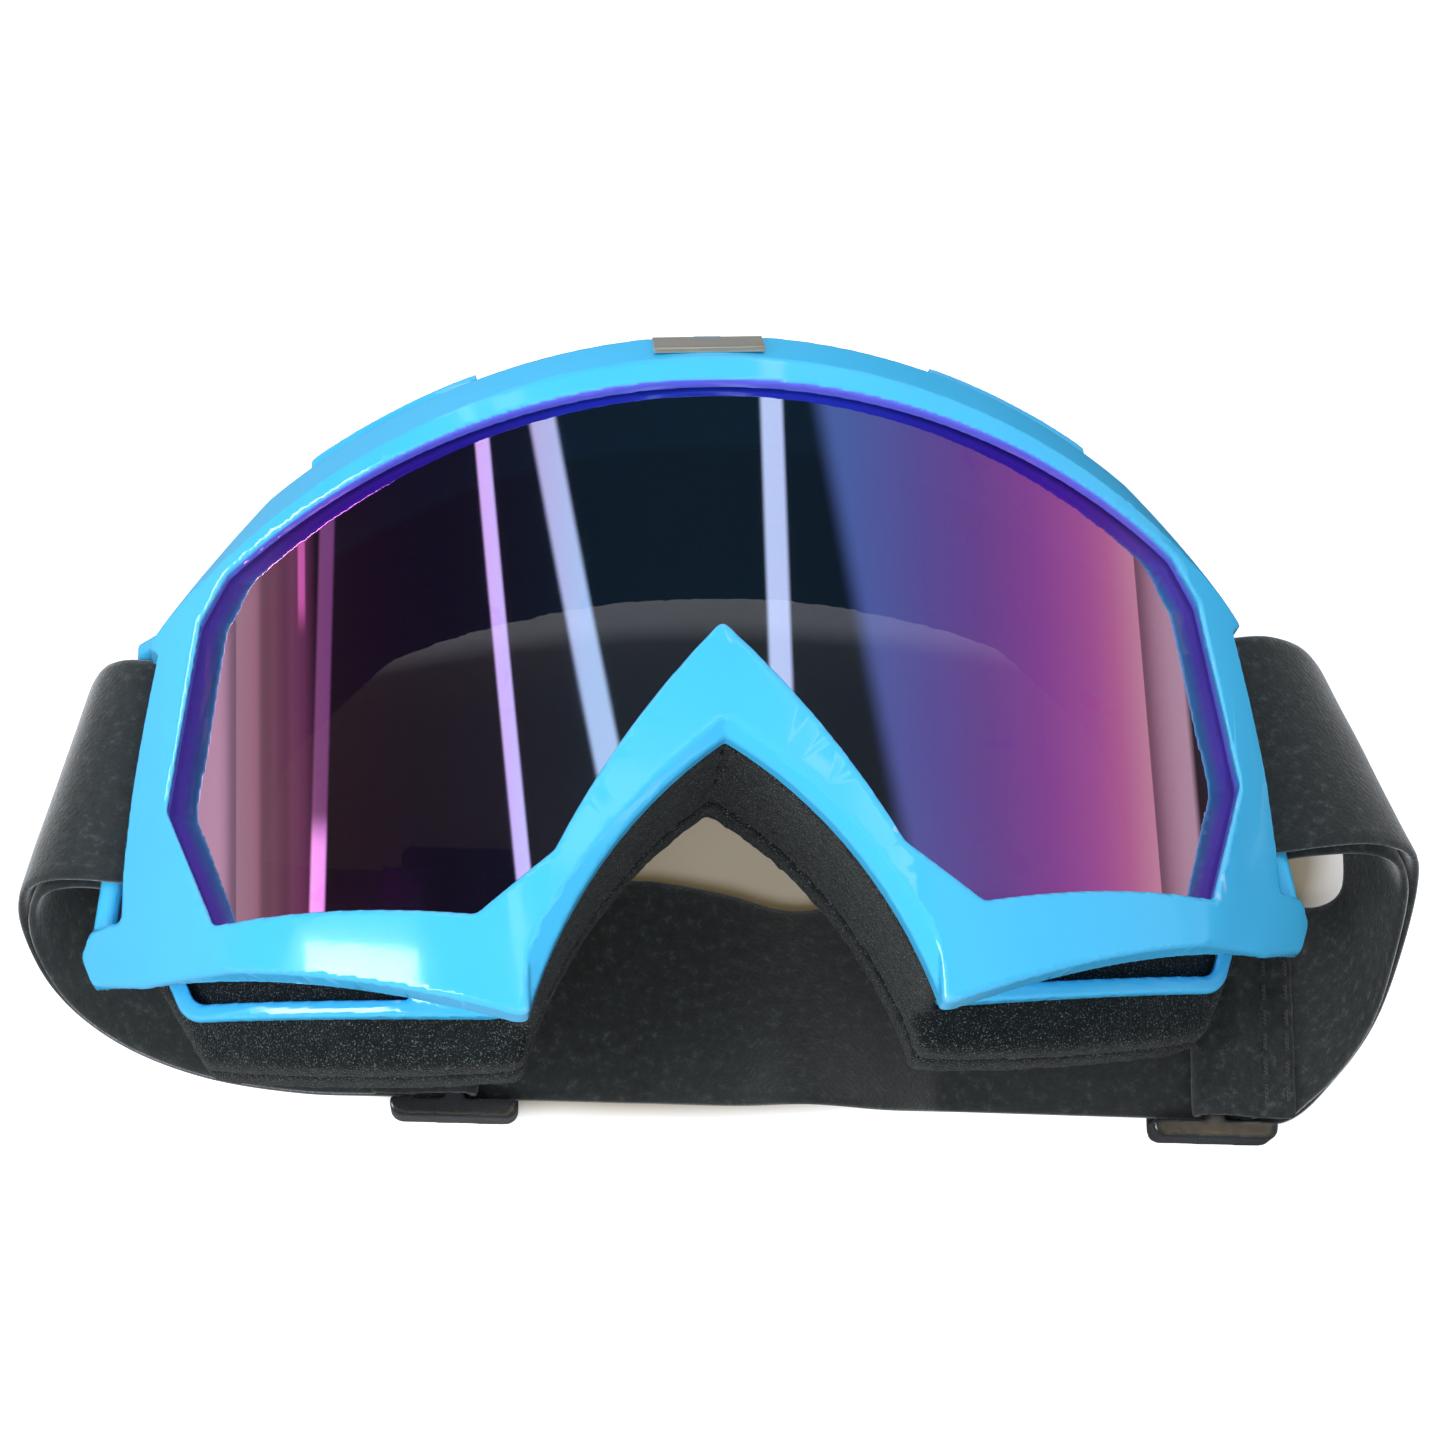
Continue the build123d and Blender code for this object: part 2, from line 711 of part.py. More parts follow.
def twisted_station(x):
    """Plane across the outer layer in the middle of the run, where it leans."""
    if x > twist_full:
        lean = smooth((twist_start - x) / (twist_start - twist_full))
    else:
        lean = smooth((x - twist_end) / (twist_full - twist_end))
    angle = radians(twist_angle * lean)
    width = run_width * cos(angle) - Vector(0, 0, 1) * sin(angle)
    lift = strap_width / 2 * sin(angle)
    point = run_point(x) + Vector(0, twist_shift * lean, lift - layer_pitch / 2)
    return Plane(point, x_dir=width, z_dir=-run_direction)


right_curl = Curl(1, curl_right, run_right)
left_curl = Curl(-1, curl_left, run_left)
tail_gap = hem_lower_reach + slider_travel_out + slider_gap
inner_rise = Vector(0, 0, layer_pitch / 2)

strap_planes = [Plane(run_point(slider_right + tail_gap) + inner_rise, run_width, run_direction)]
strap_planes += [flipped(plane) for plane in reversed(right_curl.layer(-1, 1))]
strap_planes += [flipped(plane) for plane in reversed(right_curl.fold())]
strap_planes += right_curl.layer(1, 1)
for step in range(twist_steps + 1):
    twist_x = twist_start + (twist_end - twist_start) * step / twist_steps
    strap_planes.append(twisted_station(twist_x))
strap_planes += [flipped(plane) for plane in reversed(left_curl.layer(1, 1))]
strap_planes += left_curl.fold()
strap_planes += left_curl.layer(-1, 1)
strap_planes.append(Plane(run_point(slider_left - tail_gap) + inner_rise, run_width, run_direction))

with BuildPart() as strap:
    for plane in strap_planes:
        with BuildSketch(plane):
            Rectangle(strap_width, strap_thickness)
    loft(ruled=True)

strap.part.label = "strap"
export_step(strap.part, "parts/strap.step")

# --------------------------------------------------------- sliders and hems
rail_middle = strap_width / 2 + slider_side_clearance + slider_rail / 2
slider_width = 2 * rail_middle + slider_rail
inner_layer = run_height + layer_pitch / 2
centre_bar_bottom = inner_layer + strap_thickness / 2 + layer_gap
centre_bar_top = centre_bar_bottom + slider_centre_thickness
hem_radius = (strap_thickness + slider_centre_thickness) / 2 + layer_gap
stitch_level = inner_layer + layer_pitch + strap_thickness / 2
stitch_pitch = strap_width / (stitch_count + 1)


def build_slider(base):
    """Three-bar slider: the strap runs over the end bars and under the middle one."""
    with BuildPart() as slider:
        with BuildSketch(base):
            RectangleRounded(slider_length, slider_width, slider_round)
            Rectangle(slider_length + cut_margin, slider_width - 2 * slider_rail, mode=Mode.SUBTRACT)
        extrude(amount=centre_bar_top)
        with BuildSketch(base):
            with GridLocations(slider_length - slider_bar, 1, 2, 1):
                Rectangle(slider_bar, slider_width - 2 * slider_round)
        extrude(amount=slider_bar_thickness)
        with BuildSketch(base.offset(centre_bar_bottom)):
            Rectangle(slider_bar, slider_width - slider_rail)
        extrude(amount=slider_centre_thickness)
    return slider.part


def build_hem(base):
    """End of the strap, turned round the middle bar and sewn down on itself."""
    profile = Plane(base.origin, x_dir=base.x_dir, z_dir=-base.y_dir)
    with BuildPart() as hem:
        with BuildSketch(profile):
            with BuildLine():
                turn = -hem_bend_offset
                top_level = inner_layer + 2 * hem_radius
                lower = Line((hem_lower_reach, inner_layer), (turn, inner_layer))
                bend_side = (turn - hem_radius, inner_layer + hem_radius)
                bend = ThreePointArc(lower @ 1, bend_side, (turn, top_level))
                Polyline(
                    bend @ 1,
                    (hem_step_start, top_level),
                    (hem_step_end, inner_layer + layer_pitch),
                    (hem_reach, inner_layer + layer_pitch),
                )
            trace(line_width=strap_thickness)
        extrude(amount=strap_width / 2, both=True)
    return hem.part


def build_stitches(base):
    """Rows of thread that hold the hem down."""
    with BuildPart() as stitches:
        with BuildSketch(base.offset(stitch_level)):
            with Locations(((hem_step_end + hem_reach) / 2, 0)):
                with GridLocations(row_spacing, stitch_pitch, stitch_rows, stitch_count):
                    Rectangle(stitch_width, stitch_length)
        extrude(amount=stitch_height)
    return stitches.part


for side, name, slider_x in ((-1, "left", slider_left), (1, "right", slider_right)):
    ground = Vector(slider_x, run_point(slider_x).Y, 0)
    slider_base = Plane(ground, x_dir=run_direction * side, z_dir=(0, 0, 1))
    slider_part = build_slider(slider_base)
    slider_part.label = "slider_" + name
    export_step(slider_part, "parts/slider_" + name + ".step")
    hem_part = build_hem(slider_base)
    hem_part.label = "strap_hem_" + name
    export_step(hem_part, "parts/strap_hem_" + name + ".step")
    stitches_part = build_stitches(slider_base)
    stitches_part.label = "hem_stitches_" + name
    export_step(stitches_part, "parts/hem_stitches_" + name + ".step")
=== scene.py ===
from math import cos, pi, radians, sin

import bmesh
import bpy
import numpy as np
from mathutils import Matrix, Vector, noise
from mathutils.bvhtree import BVHTree
from mathutils.kdtree import KDTree


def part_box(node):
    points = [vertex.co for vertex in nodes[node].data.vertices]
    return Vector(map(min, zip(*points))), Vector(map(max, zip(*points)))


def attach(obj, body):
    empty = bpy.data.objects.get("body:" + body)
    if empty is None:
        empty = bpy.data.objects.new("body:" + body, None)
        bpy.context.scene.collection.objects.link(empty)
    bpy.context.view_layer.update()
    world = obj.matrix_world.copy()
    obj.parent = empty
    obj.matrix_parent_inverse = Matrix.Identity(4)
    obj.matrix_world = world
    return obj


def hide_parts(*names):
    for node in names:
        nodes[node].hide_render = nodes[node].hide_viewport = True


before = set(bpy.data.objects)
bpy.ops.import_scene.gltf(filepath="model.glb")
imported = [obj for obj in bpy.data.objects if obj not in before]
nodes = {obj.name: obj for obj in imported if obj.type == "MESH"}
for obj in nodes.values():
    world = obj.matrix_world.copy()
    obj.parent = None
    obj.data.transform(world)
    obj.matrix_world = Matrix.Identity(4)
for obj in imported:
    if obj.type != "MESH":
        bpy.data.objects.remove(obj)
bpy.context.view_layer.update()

scene = bpy.context.scene
scene.view_settings.view_transform = "Standard"

# ------------------------------------------------------------------ camera
# A long lens looks down on the lens side from above the nose, a little from
# the wearer's left, with the goggles filling the width of the picture.
camera_data = bpy.data.cameras.new("camera")
camera_data.lens = 80.91
camera_data.sensor_width = 36
camera_data.clip_end = 20
camera = bpy.data.objects.new("camera", camera_data)
camera_turn = Matrix.Rotation(radians(-4.544), 4, "Y")
camera_tilt = Matrix.Rotation(radians(17.0), 4, "X")
camera_roll = Matrix.Rotation(radians(-2.583), 4, "Z")
camera_place = Matrix.Translation((-0.03475, -0.13154, 0.50894))
camera.matrix_world = camera_place @ camera_turn @ camera_tilt @ camera_roll
scene.collection.objects.link(camera)
scene.camera = camera


# ------------------------------------------------------------------ studio
# The goggles lie on a white table in a white tent. Three soft lamps light them
# and throw a faint shadow, and the tent's dark joins and bright tubes are
# what the mirror of the lens shows. The table also carries painted shade round
# the goggles, and painted bands that only reflections show.
def add_node(tree, kind, settings=None, inputs=None):
    """New node: settings are its properties, inputs are values or sockets."""
    node = tree.nodes.new(kind)
    for key, value in (settings or {}).items():
        setattr(node, key, value)
    for key, value in (inputs or {}).items():
        if isinstance(value, bpy.types.NodeSocket):
            tree.links.new(value, node.inputs[key])
        else:
            node.inputs[key].default_value = value
    return node


def arithmetic(tree, operation, first, second=0.0, third=0.0):
    """One sum on up to three values or sockets."""
    settings = {"operation": operation}
    inputs = {0: first, 1: second, 2: third}
    return add_node(tree, "ShaderNodeMath", settings, inputs).outputs[0]


def shade_ramp(tree, factor, stops, output="Color"):
    """Colours that follow a factor from 0 to 1."""
    ramp = add_node(tree, "ShaderNodeValToRGB", inputs={"Fac": factor})
    elements = ramp.color_ramp.elements
    elements.remove(elements[1])
    for number, (position, colour) in enumerate(stops):
        element = elements[0] if number == 0 else elements.new(position)
        element.position = position
        element.color = (*colour, 1)
    return ramp.outputs[output]


def shown_directly(tree):
    """One where the eye looks straight at a surface."""
    path = add_node(tree, "ShaderNodeLightPath").outputs
    return arithmetic(tree, "MAXIMUM", path["Is Camera Ray"], path["Is Transmission Ray"])


def soft_lamp(name, place, size, power):
    """Soft rectangular lamp aimed at the middle of the goggles."""
    data = bpy.data.lights.new(name, "AREA")
    data.shape = "RECTANGLE"
    data.size, data.size_y = size
    data.energy = power
    lamp = bpy.data.objects.new(name, data)
    aim = (Vector((0, 0, 0.04)) - Vector(place)).to_track_quat("-Z", "Y")
    lamp.matrix_world = Matrix.Translation(place) @ aim.to_matrix().to_4x4()
    lamp.visible_camera = False
    lamp.visible_glossy = False
    scene.collection.objects.link(lamp)


soft_lamp("lamp_back", (0.15, 0.55, 0.85), (0.6, 0.5), 4)
soft_lamp("lamp_left", (-0.65, -0.25, 0.7), (0.5, 0.4), 4)
soft_lamp("lamp_front", (-0.15, -0.6, 0.8), (0.6, 0.4), 4)

world = bpy.data.worlds.new("white_tent")
scene.world = world
world.use_nodes = True
tent = world.node_tree
heading = add_node(tent, "ShaderNodeTexCoord").outputs["Generated"]
heading_parts = add_node(tent, "ShaderNodeSeparateXYZ", inputs={0: heading}).outputs
turn = arithmetic(tent, "ARCTAN2", heading_parts["X"], heading_parts["Z"])
side_angle = arithmetic(tent, "DEGREES", turn)
part_turn = arithmetic(tent, "MULTIPLY_ADD", side_angle, 1 / 360, 0.5)
# Shades of the tent wall by its angle in degrees, from the left over the top.
wall_shades = [
    (-95, (0.46, 0.46, 0.46)),
    (-86, (0.46, 0.46, 0.46)),
    (-84, (0.18, 0.18, 0.18)),
    (-82, (0.26, 0.26, 0.26)),
    (-79, (0.18, 0.18, 0.18)),
    (-77, (0.27, 0.27, 0.27)),
    (-74, (0.20, 0.20, 0.20)),
    (-72, (0.03, 0.06, 0.035)),
    (-50, (0.03, 0.06, 0.035)),
    (-35, (0.045, 0.06, 0.036)),
    (30, (0.045, 0.06, 0.036)),
    (100, (0.20, 0.20, 0.20)),
    (105, (0.20, 0.20, 0.20)),
    (107, (0.01, 0.01, 0.01)),
]
wall_stops = [(degrees / 360 + 0.5, colour) for degrees, colour in wall_shades]
tent_wall = shade_ramp(tent, part_turn, wall_stops)
forward = arithmetic(tent, "SUBTRACT", heading_parts["Y"], 0.32)
# The tent's open door glows evenly from its leaning edge to the end of the wall.
door_edge = arithmetic(tent, "MULTIPLY_ADD", forward, -90.0, 30.0)
past_door = arithmetic(tent, "SUBTRACT", side_angle, door_edge)
door_settings = {"interpolation_type": "SMOOTHSTEP"}
door_inputs = {"Value": past_door, "From Min": -2.5, "From Max": 2.5, "To Max": 0.55}
door = add_node(tent, "ShaderNodeMapRange", door_settings, door_inputs).outputs["Result"]
wall_end = {"Value": side_angle, "From Min": 107.0, "From Max": 105.0}
not_past = add_node(tent, "ShaderNodeMapRange", door_settings, wall_end).outputs["Result"]
door = arithmetic(tent, "MULTIPLY", door, not_past)
glow = add_node(tent, "ShaderNodeCombineColor", inputs={0: door, 1: door, 2: door}).outputs[0]
# Straight light tubes: angle, half width, lean, ends and colour.
tubes = [
    (-75, 1.0, 0, (0.0, 1.0), (0.80, 0.55, 0.78)),
    (-70, 2.0, 25, (-1.0, 1.0), (0.36, 0.45, 0.42)),
    (-70, 2.0, 25, (-1.0, -0.05), (1.6, 2.6, 2.1)),
    (-35, 1.7, -45, (-1.0, 1.0), (4.0, 4.2, 2.1)),
    (-20, 3.0, -100, (-1.0, 1.0), (3.5, 3.0, 1.45)),
    (15, 2.5, 10, (-1.0, 1.0), (4.2, 2.9, 1.48)),
]
for place, half_width, lean, (low_end, high_end), colour in tubes:
    middle = arithmetic(tent, "MULTIPLY_ADD", forward, lean, place)
    apart = arithmetic(tent, "ABSOLUTE", arithmetic(tent, "SUBTRACT", side_angle, middle))
    strip_inputs = {
        "Value": apart,
        "From Min": half_width * 0.6,
        "From Max": half_width,
        "To Min": 1.0,
        "To Max": 0.0,
    }
    strip = add_node(tent, "ShaderNodeMapRange", door_settings, strip_inputs).outputs["Result"]
    for end, step in ((low_end, 0.012), (high_end, -0.012)):
        end_inputs = {"Value": forward, "From Min": end, "From Max": end + step}
        kept = add_node(tent, "ShaderNodeMapRange", door_settings, end_inputs).outputs["Result"]
        strip = arithmetic(tent, "MULTIPLY", strip, kept)
    strip_colour = [arithmetic(tent, "MULTIPLY", strip, part) for part in colour]
    coloured = add_node(tent, "ShaderNodeCombineColor", inputs=dict(enumerate(strip_colour)))
    glow = add_node(
        tent,
        "ShaderNodeMix",
        {"data_type": "RGBA", "blend_type": "ADD"},
        {"Factor": 1.0, 6: glow, 7: coloured.outputs[0]},
    ).outputs[2]
window_side = arithmetic(tent, "COMPARE", side_angle, -61.0, 11.0)
window_rise = arithmetic(tent, "COMPARE", heading_parts["Y"], 0.0, 0.225)
window = arithmetic(tent, "MULTIPLY", window_side, window_rise)
shine = arithmetic(tent, "MULTIPLY", window, 24.0)
window_colour = add_node(tent, "ShaderNodeCombineColor", inputs={0: shine, 1: shine, 2: shine})
glow = add_node(
    tent,
    "ShaderNodeMix",
    {"data_type": "RGBA", "blend_type": "ADD"},
    {"Factor": 1.0, 6: glow, 7: window_colour.outputs[0]},
).outputs[2]
mirror_view = add_node(
    tent,
    "ShaderNodeMix",
    {"data_type": "RGBA", "blend_type": "ADD"},
    {"Factor": 1.0, 6: tent_wall, 7: glow},
).outputs[2]
reflected = add_node(tent, "ShaderNodeBackground", inputs={"Color": mirror_view})
open_view = add_node(tent, "ShaderNodeBackground", inputs={"Color": (1, 1, 1, 1)})
filling = tent.nodes["Background"]
filling.inputs["Color"].default_value = (0.90, 0.94, 1.0, 1)
filling.inputs["Strength"].default_value = 0.55
path = add_node(tent, "ShaderNodeLightPath").outputs
mirrored = add_node(
    tent,
    "ShaderNodeMixShader",
    inputs={0: path["Is Glossy Ray"], 1: filling.outputs[0], 2: reflected.outputs[0]},
)
surrounding = add_node(
    tent,
    "ShaderNodeMixShader",
    inputs={0: shown_directly(tent), 1: mirrored.outputs[0], 2: open_view.outputs[0]},
)
tent.links.new(surrounding.outputs[0], tent.nodes["World Output"].inputs["Surface"])

table_mesh = bpy.data.meshes.new("table")
bm = bmesh.new()
bmesh.ops.create_grid(bm, x_segments=1, y_segments=1, size=3)
bm.to_mesh(table_mesh)
bm.free()
table = bpy.data.objects.new("table", table_mesh)
scene.collection.objects.link(table)
table_finish = bpy.data.materials.new("white_table")
table_finish.use_nodes = True
top_tree = table_finish.node_tree
top_tree.nodes.remove(top_tree.nodes["Principled BSDF"])
in_mirror = add_node(top_tree, "ShaderNodeLightPath").outputs["Is Glossy Ray"]
# Round the goggles the table is painted darker and warmer, and its glow for the eye fades there:
# painted shade under the goggles.
spot = add_node(top_tree, "ShaderNodeTexCoord").outputs["Object"]
squeeze = {"operation": "MULTIPLY"}
oval = add_node(top_tree, "ShaderNodeVectorMath", squeeze, {0: spot, 1: (0.42, 1.1, 1.0)})
apart = add_node(top_tree, "ShaderNodeVectorMath", {"operation": "LENGTH"}, {0: oval.outputs[0]})
clear_of_painted_shade = arithmetic(top_tree, "MULTIPLY_ADD", apart.outputs["Value"], 250.0, -10.6)
glow_with_painted_shade = shade_ramp(top_tree, clear_of_painted_shade, [(0.0, (0.06, 0.04, 0.005)), (1.0, (0.62, 0.60, 0.58))])
table_with_painted_shade = shade_ramp(top_tree, clear_of_painted_shade, [(0.0, (0.52, 0.48, 0.42)), (1.0, (0.80, 0.84, 0.90))])
# Only in reflections the table shows grey and near-black bands across it: a painted reflection.
spot_across = add_node(top_tree, "ShaderNodeSeparateXYZ", inputs={0: spot}).outputs["X"]
off_side = arithmetic(top_tree, "ADD", spot_across, 0.5)
painted_table_reflection = shade_ramp(
    top_tree,
    off_side,
    [
        (0.0, (0.50, 0.48, 0.50)),
        (0.30, (0.42, 0.40, 0.42)),
        (0.36, (0.28, 0.28, 0.28)),
        (0.58, (0.12, 0.12, 0.12)),
        (0.60, (0.03, 0.03, 0.03)),
        (0.745, (0.03, 0.03, 0.03)),
        (0.775, (0.48, 0.48, 0.48)),
    ],
)
table_colour = add_node(
    top_tree,
    "ShaderNodeMix",
    {"data_type": "RGBA"},
    {"Factor": in_mirror, 6: table_with_painted_shade, 7: painted_table_reflection},
).outputs[2]
lit = add_node(top_tree, "ShaderNodeBsdfDiffuse", inputs={"Color": table_colour})
lift = add_node(
    top_tree,
    "ShaderNodeEmission",
    inputs={"Color": glow_with_painted_shade, "Strength": shown_directly(top_tree)},
)
both = add_node(top_tree, "ShaderNodeAddShader", inputs={0: lit.outputs[0], 1: lift.outputs[0]})
top_tree.links.new(both.outputs[0], top_tree.nodes["Material Output"].inputs["Surface"])
table_mesh.materials.append(table_finish)


# ------------------------------------------------------------------- frame
# One bent moulding in glossy blue thermoplastic: rim, lens groove, walls with
# vents, face flange, feet and strap posts. The tool leaves every edge rounded,
# so the copy of the solid is rebuilt on an even grid and its edges are eased.
def finish_nodes(name):
    """New material with its node tree and its surface shader."""
    finish = bpy.data.materials.new(name)
    finish.use_nodes = True
    return finish, finish.node_tree, finish.node_tree.nodes["Principled BSDF"]


def grain(tree, vector, scale, detail=2.0, roughness=0.5):
    """Cloudy pattern from 0 to 1; the scale is per metre."""
    inputs = {"Vector": vector, "Scale": scale, "Detail": detail, "Roughness": roughness}
    return add_node(tree, "ShaderNodeTexNoise", inputs=inputs).outputs["Fac"]


def object_place(tree):
    return add_node(tree, "ShaderNodeTexCoord").outputs["Object"]


def between(tree, factor, low, high):
    """A factor of 0 to 1 turned into a value from low to high."""
    inputs = {"Value": factor, "From Min": 0.3, "From Max": 0.7, "To Min": low, "To Max": high}
    return add_node(tree, "ShaderNodeMapRange", inputs=inputs).outputs["Result"]


def relief(tree, shader, height, distance, strength):
    """Fine raised texture on a surface."""
    inputs = {"Strength": strength, "Distance": distance, "Height": height}
    raised = add_node(tree, "ShaderNodeBump", inputs=inputs).outputs["Normal"]
    tree.links.new(raised, shader.inputs["Normal"])


def set_shader(shader, **values):
    for name, value in values.items():
        shader.inputs[name.replace("_", " ")].default_value = value


def merged_copy(node, piece):
    """Separate copy of a solid with its loose triangles joined."""
    copy = bpy.data.objects.new(piece, nodes[node].data.copy())
    scene.collection.objects.link(copy)
    copy.data.materials.clear()
    bm = bmesh.new()
    bm.from_mesh(copy.data)
    bmesh.ops.remove_doubles(bm, verts=bm.verts, dist=2e-5)
    bm.to_mesh(copy.data)
    bm.free()
    return copy


def baked_mesh(piece):
    """Mesh of a piece with its modifiers in it; they are then taken off."""
    ready = piece.evaluated_get(bpy.context.evaluated_depsgraph_get())
    mesh = bpy.data.meshes.new_from_object(ready)
    piece.modifiers.clear()
    old = piece.data
    piece.data = mesh
    bpy.data.meshes.remove(old)
    mesh.name = piece.name


def even_normals(mesh, rounds, limit):
    """Normals averaged along each surface, so reflections run smoothly over it."""
    normals = np.empty(len(mesh.vertices) * 3)
    mesh.vertices.foreach_get("normal", normals)
    normals = normals.reshape(-1, 3)
    ends = np.empty(len(mesh.edges) * 2, dtype=int)
    mesh.edges.foreach_get("vertices", ends)
    first, second = ends.reshape(-1, 2).T
    for _ in range(rounds):
        alike = (normals[first] * normals[second]).sum(1) > cos(radians(limit))
        total = normals.copy()
        for axis in range(3):
            to_first = alike * normals[second, axis]
            to_second = alike * normals[first, axis]
            total[:, axis] += np.bincount(first, to_first, len(normals))
            total[:, axis] += np.bincount(second, to_second, len(normals))
        normals = total / np.linalg.norm(total, axis=1, keepdims=True)
    return normals


def eased_copy(node, piece, grid, rounds, reach, faces=None, sheen=0):
    """Copy of a solid with rounded edges; all else stays on the true surface."""
    copy = merged_copy(node, piece)
    bm = bmesh.new()
    bm.from_mesh(copy.data)
    true_surface = BVHTree.FromBMesh(bm)
    marks = []
    for edge in bm.edges:
        if edge.is_manifold and edge.calc_face_angle() > radians(14):
            start, end = edge.verts[0].co, edge.verts[1].co
            steps = int((end - start).length / (grid / 2)) + 1
            marks += [start.lerp(end, step / steps) for step in range(steps + 1)]
    bm.free()
    edge_places = KDTree(len(marks))
    for number, mark in enumerate(marks):
        edge_places.insert(mark, number)
    edge_places.balance()
    even = copy.modifiers.new("even_grid", "REMESH")
    even.mode = "VOXEL"
    even.voxel_size = grid
    baked_mesh(copy)
    bm = bmesh.new()
    bm.from_mesh(copy.data)
    near_edges = []
    for vert in bm.verts:
        vert.co = true_surface.find_nearest(vert.co)[0]
        if edge_places.find(vert.co)[2] < reach:
            near_edges.append(vert)
    for _ in range(rounds):
        bmesh.ops.smooth_vert(
            bm, verts=near_edges, factor=0.5, use_axis_x=True, use_axis_y=True, use_axis_z=True
        )
    bm.to_mesh(copy.data)
    bm.free()
    for face in copy.data.polygons:
        face.use_smooth = True
    if faces and len(copy.data.polygons) > faces / 2:
        normals = even_normals(copy.data, sheen, 4.0)
        grid_places = KDTree(len(copy.data.vertices))
        for vert in copy.data.vertices:
            grid_places.insert(vert.co, vert.index)
        grid_places.balance()
        fewer = copy.modifiers.new("fewer_faces", "DECIMATE")
        fewer.ratio = faces / 2 / len(copy.data.polygons)
        baked_mesh(copy)
        nearest = [grid_places.find(vert.co)[1] for vert in copy.data.vertices]
        copy.data.normals_split_custom_set_from_vertices(normals[nearest])
    return copy


# The moulding is clear blue, with a painted highlight along its sharp edges,
# and the inner lip that stands round the lens is painted indigo with a faint
# glow: a painted reflection standing in for the lip mirrored in the lens.
frame_shell = eased_copy("frame", "frame_shell", 0.00042, 10, 0.0009, faces=190000, sheen=150)
blue_plastic, tree, shader = finish_nodes("blue_gloss_plastic")
place = object_place(tree)
flow = grain(tree, place, 28.0, 3.0)
flow_colour = shade_ramp(
    tree, flow, [(0.3, (0.055, 0.475, 0.83)), (0.7, (0.065, 0.505, 0.86))]
)
# Sharp convex edges are mixed towards a pale blue: a painted highlight.
sharpness = add_node(tree, "ShaderNodeNewGeometry").outputs["Pointiness"]
painted_edge_highlight = add_node(
    tree,
    "ShaderNodeMapRange",
    inputs={"Value": sharpness, "From Min": 0.52, "From Max": 0.60, "To Max": 0.6},
).outputs["Result"]
colour_with_painted_highlight = add_node(
    tree,
    "ShaderNodeMix",
    {"data_type": "RGBA"},
    {"Factor": painted_edge_highlight, 6: flow_colour, 7: (0.38, 0.62, 0.92, 1)},
).outputs[2]
handled = grain(tree, place, 160.0, 6.0, 0.65)
tree.links.new(between(tree, handled, 0.12, 0.18), shader.inputs["Roughness"])
relief(tree, shader, grain(tree, place, 1400.0, 1.0), 0.00002, 0.5)
set_shader(shader, IOR=1.52, Specular_IOR_Level=0.2, Coat_Weight=0.35, Coat_Roughness=0.06)
lens_low, lens_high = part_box("lens")
lens_sag = lens_high[2] - lens_low[2]
lens_bend = (lens_high[0] ** 2 + lens_sag**2) / (2 * lens_sag)
lip_height = 0.0044
lip_fade = 0.0008
# Each vertex of the inner lip gets a share of the painted indigo reflection and its painted glow.
painted_lip_share = frame_shell.data.attributes.new("painted_lip_share", "FLOAT", "POINT")
for vert in frame_shell.data.vertices:
    spot = vert.co
    beside_nose = abs(spot.x) < 0.05 and spot.y < 0.03
    if abs(spot.x) < lens_high[0] + 0.001 and spot.y > lens_low[1] and not beside_nose:
        over = spot.z - lens_high[2] + lens_bend - (lens_bend**2 - spot.x**2) ** 0.5
        inwards = Vector((-spot.x, lens_low[1] - spot.y, 0)).normalized()
        below_edge = min(max((lip_height - over) / lip_fade, 0), 1)
        facing = min(max((vert.normal.dot(inwards) - 0.35) / 0.3, 0), 1)
        if over > -0.002:
            painted_lip_share.data[vert.index].value = below_edge * facing
share = add_node(tree, "ShaderNodeAttribute", {"attribute_name": "painted_lip_share"}).outputs["Fac"]
lip_flow = grain(tree, place, 60.0, 3.0)
lip_painted_reflection = shade_ramp(tree, lip_flow, [(0.3, (0.07, 0.09, 0.56)), (0.7, (0.11, 0.12, 0.64))])
plastic_colour = add_node(
    tree,
    "ShaderNodeMix",
    {"data_type": "RGBA"},
    {"Factor": share, 6: colour_with_painted_highlight, 7: lip_painted_reflection},
).outputs[2]
tree.links.new(plastic_colour, shader.inputs["Base Color"])
# The lip's painted glow: an emission that stands in for the light it reflects.
lip_painted_glow = shade_ramp(tree, share, [(0.0, (0.0, 0.0, 0.0)), (1.0, (0.045, 0.045, 0.26))])
tree.links.new(lip_painted_glow, shader.inputs["Emission Color"])
set_shader(shader, Emission_Strength=1.0)
frame_shell.data.materials.append(blue_plastic)
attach(frame_shell, "goggles")
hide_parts("frame")

# -------------------------------------------------------------------- lens
# A 1 mm sheet of smoke polycarbonate, bent and sprung into the groove. Its
# front carries a mirror coating that shows blue in the middle and pink at the
# temples; the back is bare smoke plastic.
lens_sheet = merged_copy("lens", "lens_sheet")
bend_step = 0.0025
bm = bmesh.new()
bm.from_mesh(lens_sheet.data)
cut_x = -lens_high[0] + bend_step
while cut_x < lens_high[0]:
    bmesh.ops.bisect_plane(
        bm,
        geom=bm.verts[:] + bm.edges[:] + bm.faces[:],
        plane_co=(cut_x, 0, 0),
        plane_no=(1, 0, 0),
    )
    cut_x += bend_step
front_corners = {vert for face in bm.faces if face.normal.z > 0.3 for vert in face.verts}
outermost = max(front_corners, key=lambda vert: abs(vert.co.x)).co
lens_drop = lens_high[2] - outermost.z
lens_radius = (outermost.x**2 + lens_drop**2) / (2 * lens_drop)
bend_middle = lens_high[2] - lens_radius
for vert in front_corners:
    vert.co.z = bend_middle + (lens_radius**2 - vert.co.x**2) ** 0.5
